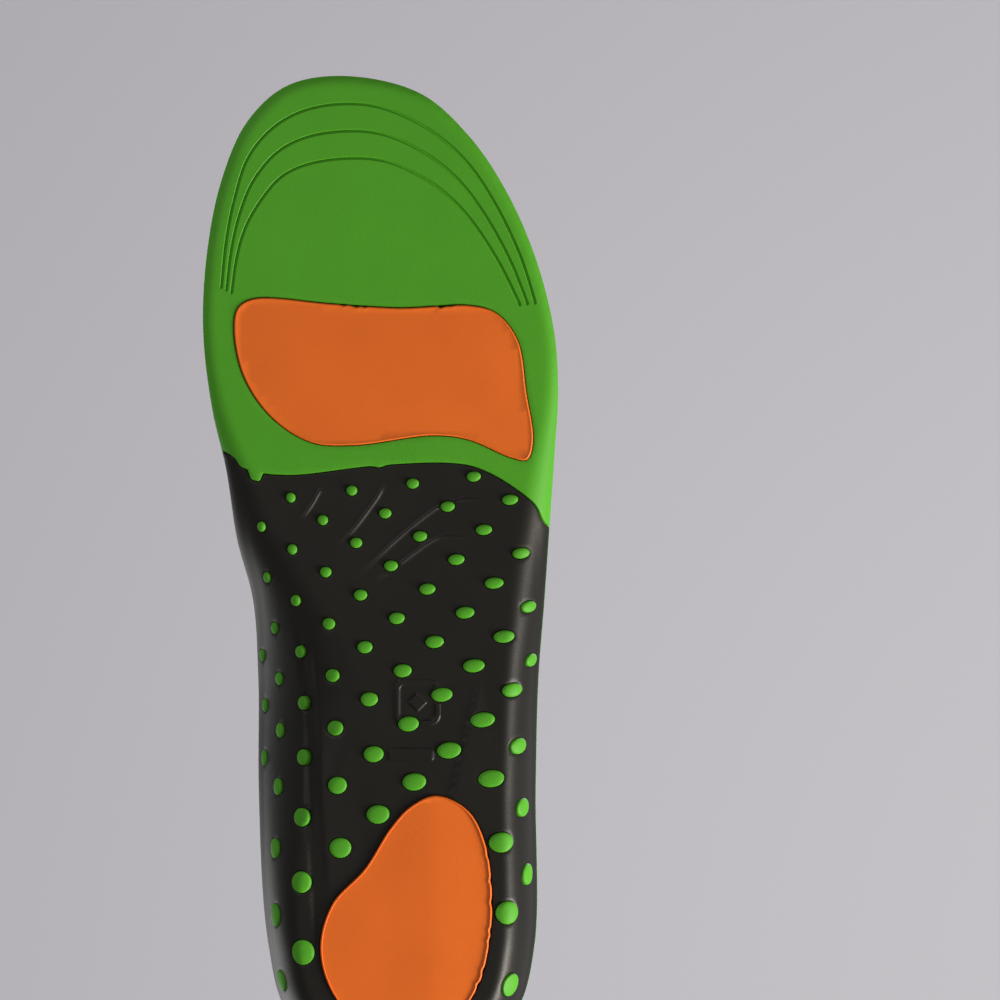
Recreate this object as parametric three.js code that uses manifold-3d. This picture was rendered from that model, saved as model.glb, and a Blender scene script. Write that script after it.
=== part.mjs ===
// Cushioned insole for a left shoe, built foot side up.
// Frame: origin at the middle of the heel, on the plane the insole rests on.
// +Z is up, +Y points to the heel end, +X points to the outer (lateral) side.
// All sizes are in millimetres.
import * as THREE from 'three';
import Module from 'manifold-3d';
import { mergeVertices } from 'three/addons/utils/BufferGeometryUtils.js';

// Overall sizes
const LENGTH = 250;
const BALL_WIDTH = 88;
const WAIST_WIDTH = 70.5;
const HEEL_WIDTH = 67;
const FOREFOOT_THICKNESS = 6;
const HEEL_THICKNESS = 9;

// Walls that turn up around the foot: heights above the underside, and how far in they reach
const LIP_HEIGHT = 1.2;
const CUP_HEIGHT = 18;
const ARCH_RISE = 10;
const ARCH_SPREAD = 32;
const ARCH_SPAN = 18;
const EDGE_ROUND = 3;
const CUP_ROUND = 9;
const FOOT_BOWL_EXTRA = 8;
const WALL_LEAN = THREE.MathUtils.degToRad(75);

// Rim of the walls, foot side against underside
const EDGE_INSET = 0.5;
const RIM_WALL = 5.6;
const RIM_CROWN = 2.2;

// Layers
const GAP = 0.3;
const CUT_PAST = 1.5;
const COVER_THICKNESS = 1;
const SHELL_THICKNESS = 1.5;
const SHELL_RECESS = 0.4;
const SHELL_RIM_DROP = 0.5;
const PAD_PROUD = 0.4;
const FOREFOOT_PAD_THICKNESS = 2.4;
const HEEL_PAD_THICKNESS = 4;

// Rows of studs through the shell: the rows and the studs grow towards the heel
const FIRST_ROW = -1;
const ROW_PITCH = 6.5;
const LAST_EVEN_ROW = 8;
const ROW_GROWTH = 0.17;
const ROW_TILT = -0.115;
const ROW_UNTILT = 0.0065;
const COLUMN_PITCH = 7.55;
const COLUMN_GROWTH = 0.18;
const COLUMN_REACH = 8;
const MEDIAL_COLUMNS = 4;
const MIDDLE_COLUMN_START = -4.4;
const MIDDLE_COLUMN_DRIFT = 0.72;
const STUD_WIDTH_START = 2.1;
const STUD_WIDTH_PER_ROW_SQUARED = 0.012;
const STUD_WIDTH_PER_COLUMN = 0.2;
const STUD_WIDTH_PER_ROW_AND_COLUMN = 0.035;
const STUD_WIDTH_MIN = 2.2;
const STUD_WIDTH_MAX = 6.6;
const STUD_HEIGHT_START = 2.5;
const STUD_HEIGHT_PER_ROW_SQUARED = 0.0145;
const STUD_HEIGHT_MAX = 6.2;
const STUD_SIDES = 8;
const STUD_ROOT = 0.8;
const STUD_DOME = 0.1;
const SHELL_BRIDGE = 0.8;

// Trimming grooves around the toe
const GROOVE_COUNT = 3;
const GROOVE_WIDTH = 0.8;
const GROOVE_DEPTH = 0.5;
const GROOVE_POINTS = 28;

// Fineness of the faceted surfaces
const SIDE_STATIONS = 20;
const HEEL_STATIONS = 12;
const TOE_STATIONS = 12;
const RINGS = [0, 0.045, 0.1, 0.16, 0.23, 0.33, 0.5, 0.75];
const OUTLINE_SAMPLES = 360;
const PAD_SAMPLES = 40;

// Values that follow from the sizes above
const HEEL_END = HEEL_WIDTH / 2;
const WALL_START = along(0.734);
const ROUND_FULL = along(0.494);
const WALL_FULL = along(0.254);
const ARCH_CENTRE = along(0.382);
const ROW_START = along(0.5924);
const UNDER_LEVEL = PAD_PROUD;
const FOAM_TOP_OFFSET = -(COVER_THICKNESS + GAP);
const SHELL_OUTER = SHELL_RECESS;
const SHELL_INNER = SHELL_RECESS + SHELL_THICKNESS;
const SHELL_SEAT = SHELL_INNER + GAP;
const TOE_CENTRE = new THREE.Vector2(-0.08 * BALL_WIDTH, along(0.84));

const wasm = await Module();
wasm.setup();

// ---------------------------------------------------------------- outline

// Distance from the heel end, as a share of the length, turned into a place on Y
function along(share) {
  return HEEL_END - share * LENGTH;
}

// Plan outline: [share of length from the heel end, width it scales with, share of that width]
function outlinePoints() {
  const medial = [
    [1, BALL_WIDTH, -0.16],
    [0.99, BALL_WIDTH, -0.32],
    [0.955, BALL_WIDTH, -0.43],
    [0.9, BALL_WIDTH, -0.5],
    [0.83, BALL_WIDTH, -0.542],
    [0.75, BALL_WIDTH, -0.555],
    [0.67, BALL_WIDTH, -0.53],
    [0.61, BALL_WIDTH, -0.492],
    [0.54, WAIST_WIDTH, -0.579],
    [0.48, WAIST_WIDTH, -0.528],
    [0.4, WAIST_WIDTH, -0.515],
    [0.29, WAIST_WIDTH, -0.513],
  ];
  const lateral = [
    [0.29, WAIST_WIDTH, 0.479],
    [0.4, WAIST_WIDTH, 0.488],
    [0.48, WAIST_WIDTH, 0.509],
    [0.56, WAIST_WIDTH, 0.528],
    [0.63, BALL_WIDTH, 0.436],
    [0.69, BALL_WIDTH, 0.445],
    [0.75, BALL_WIDTH, 0.432],
    [0.82, BALL_WIDTH, 0.381],
    [0.885, BALL_WIDTH, 0.3],
    [0.94, BALL_WIDTH, 0.195],
    [0.983, BALL_WIDTH, 0.055],
  ];
  const place = ([share, width, across]) => new THREE.Vector3(across * width, along(share), 0);
  const heel = [];
  for (let step = 0; step <= 6; step += 1) {
    const angle = Math.PI * (1 - step / 6);
    heel.push(new THREE.Vector3(HEEL_END * Math.cos(angle), HEEL_END * Math.sin(angle), 0));
  }
  return [...medial.map(place), ...heel, ...lateral.map(place)];
}

// Points spread evenly along a smooth closed curve through the given ones
function smoothLoop(points, samples) {
  const curve = new THREE.CatmullRomCurve3(points, true, 'centripetal');
  const spaced = curve.getSpacedPoints(samples);
  spaced.pop();
  return spaced.map((point) => new THREE.Vector2(point.x, point.y));
}

const outline = smoothLoop(outlinePoints(), OUTLINE_SAMPLES);

// Distance from a point inside the outline to its edge, along a direction
function reachAlong(from, direction) {
  let reach = 0;
  for (let i = 0; i < outline.length; i += 1) {
    const a = outline[i];
    const b = outline[(i + 1) % outline.length];
    const ex = b.x - a.x;
    const ey = b.y - a.y;
    const cross = direction.x * ey - direction.y * ex;
    if (Math.abs(cross) < 1e-12) continue;
    const ox = a.x - from.x;
    const oy = a.y - from.y;
    const distance = (ox * ey - oy * ex) / cross;
    const share = (ox * direction.y - oy * direction.x) / cross;
    if (share >= 0 && share <= 1 && distance > reach) reach = distance;
  }
  return reach;
}

// Place on the spine, which runs from the toe centre to the heel centre
function spineAt(y) {
  const held = THREE.MathUtils.clamp(y, TOE_CENTRE.y, 0);
  return new THREE.Vector2(TOE_CENTRE.x * (held / TOE_CENTRE.y), held);
}

// ---------------------------------------------------------------- surfaces

function smooth(from, to, value) {
  return THREE.MathUtils.smoothstep(value, from, to);
}

// Bowl profile: 0 on the floor, 1 at the rim, steepening as far as the wall's lean
function bowl(share) {
  const lean = Math.sin(WALL_LEAN);
  const full = 1 - Math.cos(WALL_LEAN);
  if (share <= 0) return 0;
  if (share <= 1) return (1 - Math.sqrt(1 - (share * lean) ** 2)) / full;
  return 1 + ((share - 1) * lean * Math.tan(WALL_LEAN)) / full;
}

// Where a plan point lies between the spine and the edge, and what the wall does there
function wallAt(x, y) {
  const spine = spineAt(y);
  const offset = new THREE.Vector2(x, y).sub(spine);
  const run = offset.length();
  const direction = run > 1e-6 ? offset.clone().divideScalar(run) : new THREE.Vector2(1, 0);
  const reach = reachAlong(spine, direction);
  const edgeY = spine.y + direction.y * reach;
  const medial = (1 - direction.x) / 2;
  const arch = medial * Math.exp(-(((edgeY - ARCH_CENTRE) / ARCH_SPREAD) ** 2));
  const back = smooth(WALL_START, WALL_FULL, edgeY);
  const height = LIP_HEIGHT + (CUP_HEIGHT - LIP_HEIGHT) * back + ARCH_RISE * arch;
  const roundness = smooth(WALL_START, ROUND_FULL, edgeY);
  const width = EDGE_ROUND + (CUP_ROUND - EDGE_ROUND) * roundness + ARCH_SPAN * arch;
  const rise = THREE.MathUtils.clamp((height - LIP_HEIGHT) / (CUP_HEIGHT - LIP_HEIGHT), 0, 1);
  return { spine, direction, reach, fromEdge: reach - run, height, width, rise };
}

// Height of the underside
function underHeight(x, y) {
  const wall = wallAt(x, y);
  return UNDER_LEVEL + wall.height * bowl(1 - wall.fromEdge / wall.width);
}

function rimInset(wall) {
  return THREE.MathUtils.lerp(EDGE_INSET, RIM_WALL, wall.rise);
}

// Height of the face that the foot stands on
function footHeight(x, y) {
  const wall = wallAt(x, y);
  const floor = FOREFOOT_THICKNESS
    + (HEEL_THICKNESS - FOREFOOT_THICKNESS) * smooth(WALL_START, WALL_FULL, y);
  const sheetEdge = FOREFOOT_THICKNESS - UNDER_LEVEL - LIP_HEIGHT;
  const crown = THREE.MathUtils.lerp(sheetEdge, RIM_CROWN, wall.rise);
  const rim = UNDER_LEVEL + wall.height + crown;
  const width = wall.width + FOOT_BOWL_EXTRA * wall.rise;
  const inset = rimInset(wall);
  return floor + (rim - floor) * bowl(1 - (wall.fromEdge - inset) / width);
}

// Upward normal of a height surface
function normalOf(surface, x, y) {
  const step = 0.05;
  const slopeX = (surface(x + step, y) - surface(x - step, y)) / (2 * step);
  const slopeY = (surface(x, y + step) - surface(x, y - step)) / (2 * step);
  return new THREE.Vector3(-slopeX, -slopeY, 1).normalize();
}

// Point on a height surface, moved up along its normal
function surfacePoint(surface, x, y, offset) {
  return new THREE.Vector3(x, y, surface(x, y)).addScaledVector(normalOf(surface, x, y), offset);
}

// ---------------------------------------------------------------- solids

function toSolid(geometry) {
  geometry.deleteAttribute('normal');
  geometry.deleteAttribute('uv');
  const merged = mergeVertices(geometry, 1e-4);
  return new wasm.Manifold(new wasm.Mesh({
    numProp: 3,
    vertProperties: new Float32Array(merged.attributes.position.array),
    triVerts: new Uint32Array(merged.index.array),
  }));
}

function toGeometry(solid) {
  const mesh = solid.getMesh();
  const geometry = new THREE.BufferGeometry();
  geometry.setAttribute('position', new THREE.BufferAttribute(mesh.vertProperties, 3));
  geometry.setIndex(new THREE.BufferAttribute(mesh.triVerts, 1));
  geometry.computeVertexNormals();
  return geometry;
}

function indexedGeometry(points, triangles) {
  const geometry = new THREE.BufferGeometry();
  geometry.setAttribute('position', new THREE.Float32BufferAttribute(points.flatMap((p) => p.toArray()), 3));
  geometry.setIndex(triangles);
  return geometry;
}

// Plan directions around the insole, counter-clockwise seen from above
function stations() {
  const list = [];
  const add = (y, angle) => {
    const direction = new THREE.Vector2(Math.cos(angle), Math.sin(angle));
    list.push({ spine: spineAt(y), direction });
  };
  for (let i = 0; i < SIDE_STATIONS; i += 1) add(TOE_CENTRE.y * (1 - i / SIDE_STATIONS), 0);
  for (let i = 0; i < HEEL_STATIONS; i += 1) add(0, (Math.PI * i) / HEEL_STATIONS);
  for (let i = 0; i < SIDE_STATIONS; i += 1) add((TOE_CENTRE.y * i) / SIDE_STATIONS, Math.PI);
  for (let i = 0; i < TOE_STATIONS; i += 1) add(TOE_CENTRE.y, Math.PI * (1 + i / TOE_STATIONS));
  return list;
}

const STATIONS = stations();

// Rings of points on the underside; the first lies a given distance in from the edge, and the
// rest are the same for every layer, so that the layers' facets stay parallel
function underRings(offset, rimDistance) {
  return RINGS.map((share, ring) => STATIONS.map(({ spine, direction }) => {
    const reach = reachAlong(spine, direction);
    const fromEdge = ring === 0 ? rimDistance : share * reach;
    const place = spine.clone().addScaledVector(direction, reach - fromEdge);
    return surfacePoint(underHeight, place.x, place.y, offset);
  }));
}

// Rings of points on the foot side, from the rim in to the middle
function footRings(offset) {
  return RINGS.map((share) => STATIONS.map(({ spine, direction }) => {
    const reach = reachAlong(spine, direction);
    const edge = spine.clone().addScaledVector(direction, reach);
    const run = (reach - rimInset(wallAt(edge.x, edge.y))) * (1 - share);
    const place = spine.clone().addScaledVector(direction, run);
    return surfacePoint(footHeight, place.x, place.y, offset);
  }));
}

// Triangles across the innermost ring, from the heel end to the toe end, wound
// counter-clockwise seen from above
function ringCap() {
  const count = STATIONS.length;
  const heelEnd = SIDE_STATIONS + HEEL_STATIONS / 2;
  const lateral = (step) => (heelEnd - step + count) % count;
  const medial = (step) => (heelEnd + step) % count;
  const triangles = [[lateral(1), heelEnd, medial(1)]];
  for (let step = 1; step < count / 2 - 1; step += 1) {
    triangles.push([lateral(step + 1), lateral(step), medial(step)]);
    triangles.push([lateral(step + 1), medial(step), medial(step + 1)]);
  }
  const nearToe = count / 2 - 1;
  triangles.push([medial(count / 2), lateral(nearToe), medial(nearToe)]);
  return triangles;
}

// Closed slab between two sets of rings, whose quads are split along the same diagonal
function slab(lowerRings, upperRings) {
  const count = STATIONS.length;
  const last = RINGS.length - 1;
  const points = [...lowerRings.flat(), ...upperRings.flat()];
  const lower = (ring, i) => ring * count + (i % count);
  const upper = (ring, i) => (RINGS.length + ring) * count + (i % count);
  const triangles = [];
  const quad = (a, b, c, d) => triangles.push(a, b, c, a, c, d);
  for (let i = 0; i < count; i += 1) {
    quad(lower(0, i), lower(0, i + 1), upper(0, i + 1), upper(0, i));
    for (let ring = 0; ring < last; ring += 1) {
      quad(upper(ring, i), upper(ring, i + 1), upper(ring + 1, i + 1), upper(ring + 1, i));
      quad(lower(ring, i), lower(ring + 1, i), lower(ring + 1, i + 1), lower(ring, i + 1));
    }
  }
  for (const [a, b, c] of ringCap()) {
    triangles.push(upper(last, a), upper(last, b), upper(last, c));
    triangles.push(lower(last, a), lower(last, c), lower(last, b));
  }
  return toSolid(indexedGeometry(points, triangles));
}

// Straight prism on a plan outline
function prism(points, bottom, top) {
  const geometry = new THREE.ExtrudeGeometry(new THREE.Shape(points), {
    depth: top - bottom,
    bevelEnabled: false,
    steps: 1,
  });
  geometry.translate(0, 0, bottom);
  return toSolid(geometry);
}

// Closed plan outline moved outwards by a distance
function grow(points, distance) {
  const turn = THREE.ShapeUtils.area(points) > 0 ? 1 : -1;
  return points.map((point, i) => {
    const before = points[(i + points.length - 1) % points.length];
    const after = points[(i + 1) % points.length];
    const tangent = after.clone().sub(before).normalize();
    return new THREE.Vector2(point.x + turn * tangent.y * distance, point.y - turn * tangent.x * distance);
  });
}

function isInside(point, polygon) {
  let inside = false;
  for (let i = 0; i < polygon.length; i += 1) {
    const a = polygon[i];
    const b = polygon[(i + 1) % polygon.length];
    const crosses = a.y > point.y !== b.y > point.y;
    if (crosses && point.x < a.x + ((point.y - a.y) * (b.x - a.x)) / (b.y - a.y)) inside = !inside;
  }
  return inside;
}

// ---------------------------------------------------------------- outlines of the pieces

// A plan point given as a share of the ball width and a distance behind the ball line
const BALL_LINE = along(0.766);
function ballPoint(across, behind) {
  return new THREE.Vector3(across * BALL_WIDTH, BALL_LINE + behind, 0);
}

function forefootPadOutline() {
  return smoothLoop([
    ballPoint(-0.467, 4),
    ballPoint(-0.455, -1),
    ballPoint(-0.41, -3.2),
    ballPoint(-0.19, -1.9),
    ballPoint(0, -0.9),
    ballPoint(0.2, -1.5),
    ballPoint(0.27, 0.3),
    ballPoint(0.33, 7),
    ballPoint(0.355, 20),
    ballPoint(0.374, 32),
    ballPoint(0.357, 36.6),
    ballPoint(0.31, 36),
    ballPoint(0.19, 31.6),
    ballPoint(0.09, 30.6),
    ballPoint(-0.13, 33),
    ballPoint(-0.25, 32.3),
    ballPoint(-0.36, 26.3),
    ballPoint(-0.44, 16),
  ], PAD_SAMPLES);
}

// A plan point given as shares of half the heel width
function heelPoint(across, back) {
  return new THREE.Vector3((across * HEEL_WIDTH) / 2, (back * HEEL_WIDTH) / 2, 0);
}

function heelPadOutline(samples = PAD_SAMPLES) {
  return smoothLoop([
    heelPoint(0.27, -1.14),
    heelPoint(0.5, -1.03),
    heelPoint(0.63, -0.78),
    heelPoint(0.68, -0.35),
    heelPoint(0.65, 0),
    heelPoint(0.57, 0.28),
    heelPoint(0.36, 0.55),
    heelPoint(0.04, 0.66),
    heelPoint(-0.3, 0.55),
    heelPoint(-0.52, 0.28),
    heelPoint(-0.59, -0.03),
    heelPoint(-0.5, -0.34),
    heelPoint(-0.26, -0.6),
    heelPoint(-0.07, -0.9),
    heelPoint(0.08, -1.06),
  ], samples);
}

// Front edge of the shell, from the medial to the lateral side
function shellFrontEdge() {
  const half = WAIST_WIDTH / 2;
  return new THREE.SplineCurve([
    new THREE.Vector2(-1.887 * half, along(0.66)),
    new THREE.Vector2(-1.245 * half, along(0.627)),
    new THREE.Vector2(-1.094 * half, along(0.61)),
    new THREE.Vector2(-0.755 * half, along(0.604)),
    new THREE.Vector2(-0.189 * half, along(0.613)),
    new THREE.Vector2(0.33 * half, along(0.616)),
    new THREE.Vector2(0.613 * half, along(0.607)),
    new THREE.Vector2(0.924 * half, along(0.578)),
    new THREE.Vector2(1.056 * half, along(0.552)),
    new THREE.Vector2(1.415 * half, along(0.53)),
    new THREE.Vector2(1.887 * half, along(0.52)),
  ]);
}

// Plan region behind the shell's front edge, which is moved forward by a distance
function shellRegion(forward) {
  const edge = shellFrontEdge().getSpacedPoints(30);
  const moved = edge.map((point, i) => {
    const before = edge[Math.max(i - 1, 0)];
    const after = edge[Math.min(i + 1, edge.length - 1)];
    const tangent = after.clone().sub(before).normalize();
    return new THREE.Vector2(point.x + tangent.y * forward, point.y - tangent.x * forward);
  });
  const first = moved[0];
  const last = moved[moved.length - 1];
  const beyond = HEEL_END + HEEL_WIDTH;
  return [...moved, new THREE.Vector2(last.x, beyond), new THREE.Vector2(first.x, beyond)];
}

// ---------------------------------------------------------------- studs and their holes

// Walks over the underside from the spine until the path is long enough; null if less than the
// clear length is then left before the shell's rim
function walkUnder(spine, direction, distance, clear) {
  const step = 0.25;
  const rim = reachAlong(spine, direction) - SHELL_RIM_DROP;
  let walked = 0;
  let height = underHeight(spine.x, spine.y);
  let place = null;
  for (let run = step; run <= rim; run += step) {
    const next = underHeight(spine.x + direction.x * run, spine.y + direction.y * run);
    walked += Math.hypot(step, next - height);
    height = next;
    if (!place && walked >= distance) place = spine.clone().addScaledVector(direction, run);
  }
  return walked >= distance + clear ? place : null;
}

function studSize(row, column) {
  const perColumn = STUD_WIDTH_PER_COLUMN + STUD_WIDTH_PER_ROW_AND_COLUMN * row;
  const width = STUD_WIDTH_START + STUD_WIDTH_PER_ROW_SQUARED * row ** 2 + column * perColumn;
  const height = STUD_HEIGHT_START + STUD_HEIGHT_PER_ROW_SQUARED * row ** 2;
  return {
    width: THREE.MathUtils.clamp(width, STUD_WIDTH_MIN, STUD_WIDTH_MAX),
    height: Math.min(height, STUD_HEIGHT_MAX),
  };
}

// Moves a point that crowds the heel pad until it is clear; null if it lies on the pad or nearly
function pushedOffPad(point, pad, clear) {
  if (isInside(point, pad)) return null;
  const gapTo = (place) => place.distanceTo(point);
  const nearest = pad.reduce((best, place) => (gapTo(place) < gapTo(best) ? place : best));
  if (gapTo(nearest) >= clear) return point;
  if (gapTo(nearest) < clear / 2) return null;
  return point.clone().sub(nearest).setLength(clear).add(nearest);
}

// Studs stand on a staggered lattice laid over the underside behind the shell's front edge
function studPlaces() {
  const places = [];
  const shell = shellRegion(0);
  const pad = heelPadOutline(OUTLINE_SAMPLES);
  const growth = (row) => ROW_GROWTH * Math.max(row - LAST_EVEN_ROW, 0) ** 2;
  const rowPlace = (row) => ROW_START + ROW_PITCH * row + growth(row);
  for (let row = FIRST_ROW; rowPlace(row) < HEEL_END; row += 1) {
    const middleY = rowPlace(row);
    const middleX = MIDDLE_COLUMN_START + MIDDLE_COLUMN_DRIFT * row;
    const pitch = COLUMN_PITCH + COLUMN_GROWTH * row;
    for (let column = -COLUMN_REACH; column <= COLUMN_REACH; column += 1) {
      if ((column + row) % 2 === 0) continue;
      const x = middleX + column * pitch;
      const y = middleY + (ROW_TILT + ROW_UNTILT * row) * (x - middleX);
      const size = studSize(row, column + MEDIAL_COLUMNS);
      const clear = size.width / 2 + SHELL_BRIDGE;
      const spot = pushedOffPad(new THREE.Vector2(x, y), pad, clear);
      if (!spot) continue;
      const spine = spineAt(spot.y);
      const offset = spot.sub(spine);
      const place = walkUnder(spine, offset.clone().normalize(), offset.length(), clear);
      if (place && isInside(place, shell)) places.push({ place, size });
    }
  }
  return places;
}

// Slides a point along a direction until it lies on the underside
function slideOntoUnder(point, direction) {
  for (let pass = 0; pass < 8; pass += 1) {
    const normal = normalOf(underHeight, point.x, point.y);
    const rise = underHeight(point.x, point.y) - point.z;
    point.addScaledVector(direction, (rise * normal.z) / direction.dot(normal));
  }
  return point;
}

// Straight elliptical plug square to the underside, with ends that follow it; levels are
// [distance from the surface, scale]
function plug({ place, size }, levels, extra) {
  const normal = normalOf(underHeight, place.x, place.y);
  const centre = new THREE.Vector3(place.x, place.y, underHeight(place.x, place.y));
  const across = new THREE.Vector3(1, ROW_TILT, 0).projectOnPlane(normal).normalize();
  const lengthwise = normal.clone().cross(across);
  const points = [];
  for (const [level, scale] of levels) {
    for (let i = 0; i < STUD_SIDES; i += 1) {
      const angle = (2 * Math.PI * (i + 0.5)) / STUD_SIDES;
      const side = centre.clone()
        .addScaledVector(across, (size.width / 2 + extra) * scale * Math.cos(angle))
        .addScaledVector(lengthwise, (size.height / 2 + extra) * scale * Math.sin(angle));
      points.push(slideOntoUnder(side, normal).addScaledVector(normal, level));
    }
  }
  const triangles = [];
  for (let level = 0; level < levels.length - 1; level += 1) {
    for (let i = 0; i < STUD_SIDES; i += 1) {
      const a = level * STUD_SIDES + i;
      const b = level * STUD_SIDES + ((i + 1) % STUD_SIDES);
      triangles.push(a, b, b + STUD_SIDES, a, b + STUD_SIDES, a + STUD_SIDES);
    }
  }
  const top = (levels.length - 1) * STUD_SIDES;
  for (let i = 1; i < STUD_SIDES - 1; i += 1) {
    triangles.push(0, i + 1, i);
    triangles.push(top, top + i, top + i + 1);
  }
  return toSolid(indexedGeometry(points, triangles));
}

const STUDS = studPlaces();

// ---------------------------------------------------------------- trimming grooves

// Outermost and innermost groove, from the medial to the lateral side:
// [share of the ball width, share of the length from the heel end]
const OUTER_GROOVE = [
  [-0.503, 0.79],
  [-0.49, 0.835],
  [-0.468, 0.875],
  [-0.43, 0.917],
  [-0.362, 0.947],
  [-0.273, 0.965],
  [-0.164, 0.972],
  [-0.05, 0.968],
  [0.075, 0.948],
  [0.183, 0.916],
  [0.267, 0.873],
  [0.337, 0.822],
  [0.38, 0.775],
];
const INNER_GROOVE = [
  [-0.474, 0.785],
  [-0.461, 0.818],
  [-0.439, 0.846],
  [-0.402, 0.871],
  [-0.34, 0.898],
  [-0.262, 0.912],
  [-0.156, 0.918],
  [-0.05, 0.916],
  [0.044, 0.903],
  [0.125, 0.884],
  [0.199, 0.857],
  [0.276, 0.816],
  [0.337, 0.773],
];

// The grooves mark three shoe sizes, spaced evenly from the outermost to the innermost
function trimGroove(index) {
  const inward = index / (GROOVE_COUNT - 1);
  const place = ([across, share]) => new THREE.Vector2(across * BALL_WIDTH, along(share));
  const middles = OUTER_GROOVE.map((outer, i) => place(outer).lerp(place(INNER_GROOVE[i]), inward));
  const centreLine = new THREE.SplineCurve(middles).getSpacedPoints(GROOVE_POINTS);
  const side = (distance) => centreLine.map((point, i) => {
    const before = centreLine[Math.max(i - 1, 0)];
    const after = centreLine[Math.min(i + 1, centreLine.length - 1)];
    const tangent = after.clone().sub(before).normalize();
    return new THREE.Vector2(point.x - tangent.y * distance, point.y + tangent.x * distance);
  });
  const band = [...side(GROOVE_WIDTH / 2), ...side(-GROOVE_WIDTH / 2).reverse()];
  return prism(band, UNDER_LEVEL - CUT_PAST, UNDER_LEVEL + GROOVE_DEPTH);
}

// ---------------------------------------------------------------- pieces

function padPocket(points, thickness) {
  return prism(grow(points, GAP), -CUT_PAST, thickness + GAP);
}

function shellPrism(forward) {
  return prism(shellRegion(forward), -2 * CUT_PAST, CUP_HEIGHT + ARCH_RISE + HEEL_THICKNESS);
}

// Foam base: pockets for the shell and the pads, grooves at the toe, studs that fill the holes
function makeFoamBase() {
  let foam = slab(underRings(0, 0), footRings(FOAM_TOP_OFFSET));
  const pocketRim = SHELL_RIM_DROP - GAP;
  const recess = slab(underRings(-CUT_PAST, pocketRim), underRings(SHELL_SEAT, pocketRim));
  foam = foam.subtract(recess.intersect(shellPrism(GAP)));
  const studLevels = [[-STUD_DOME, 0.65], [STUD_DOME, 1], [SHELL_SEAT + STUD_ROOT, 1]];
  for (const stud of STUDS) foam = foam.add(plug(stud, studLevels, 0));
  foam = foam.subtract(padPocket(forefootPadOutline(), FOREFOOT_PAD_THICKNESS));
  foam = foam.subtract(padPocket(heelPadOutline(), HEEL_PAD_THICKNESS));
  for (let index = 0; index < GROOVE_COUNT; index += 1) foam = foam.subtract(trimGroove(index));
  return foam;
}

// Stiff shell under the arch and heel, with a hole for every stud and one for the heel pad
function makeShell() {
  const wall = slab(underRings(SHELL_OUTER, SHELL_RIM_DROP), underRings(SHELL_INNER, SHELL_RIM_DROP));
  let shell = wall.intersect(shellPrism(0));
  const holeLevels = [[SHELL_OUTER - 2 * CUT_PAST, 1], [SHELL_SEAT + STUD_ROOT + GAP, 1]];
  for (const stud of STUDS) shell = shell.subtract(plug(stud, holeLevels, GAP));
  return shell.subtract(padPocket(heelPadOutline(), HEEL_PAD_THICKNESS));
}

// Cloth cover bonded over the whole foot side
function makeCover() {
  return slab(footRings(-COVER_THICKNESS), footRings(0));
}

function makePad(points, thickness) {
  return prism(points, 0, thickness);
}

function named(name, solid, material) {
  const mesh = new THREE.Mesh(toGeometry(solid), material);
  mesh.name = name;
  return mesh;
}

const foamMaterial = new THREE.MeshStandardMaterial({ color: '#4a9624', roughness: 0.75, metalness: 0 });
const shellMaterial = new THREE.MeshStandardMaterial({ color: '#262220', roughness: 0.5, metalness: 0 });
const padMaterial = new THREE.MeshStandardMaterial({ color: '#d8622a', roughness: 0.6, metalness: 0 });
const coverMaterial = new THREE.MeshStandardMaterial({ color: '#3a3d40', roughness: 0.9, metalness: 0 });

const insole = new THREE.Group();
insole.add(
  named('top_cover', makeCover(), coverMaterial),
  named('foam_base', makeFoamBase(), foamMaterial),
  named('arch_heel_shell', makeShell(), shellMaterial),
  named('forefoot_pad', makePad(forefootPadOutline(), FOREFOOT_PAD_THICKNESS), padMaterial),
  named('heel_pad', makePad(heelPadOutline(), HEEL_PAD_THICKNESS), padMaterial),
);

export default insole;
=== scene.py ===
import math
import bpy
import numpy as np
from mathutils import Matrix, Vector
from mathutils.geometry import delaunay_2d_cdt
from mathutils.kdtree import KDTree


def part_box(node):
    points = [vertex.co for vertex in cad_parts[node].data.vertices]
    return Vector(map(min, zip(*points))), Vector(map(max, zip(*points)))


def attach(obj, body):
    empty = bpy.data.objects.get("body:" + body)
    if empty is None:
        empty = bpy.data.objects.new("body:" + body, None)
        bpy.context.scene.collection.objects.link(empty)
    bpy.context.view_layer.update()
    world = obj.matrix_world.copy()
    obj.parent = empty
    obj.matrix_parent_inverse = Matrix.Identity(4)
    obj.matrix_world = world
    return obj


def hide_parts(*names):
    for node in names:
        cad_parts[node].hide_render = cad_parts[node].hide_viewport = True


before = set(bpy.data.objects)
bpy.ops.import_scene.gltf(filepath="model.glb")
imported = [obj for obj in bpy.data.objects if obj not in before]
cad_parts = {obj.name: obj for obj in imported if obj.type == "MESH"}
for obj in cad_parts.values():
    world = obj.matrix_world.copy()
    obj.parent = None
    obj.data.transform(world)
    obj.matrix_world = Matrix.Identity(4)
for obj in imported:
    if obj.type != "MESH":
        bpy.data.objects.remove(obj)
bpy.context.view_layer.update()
bpy.ops.object.select_all(action="DESELECT")

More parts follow.
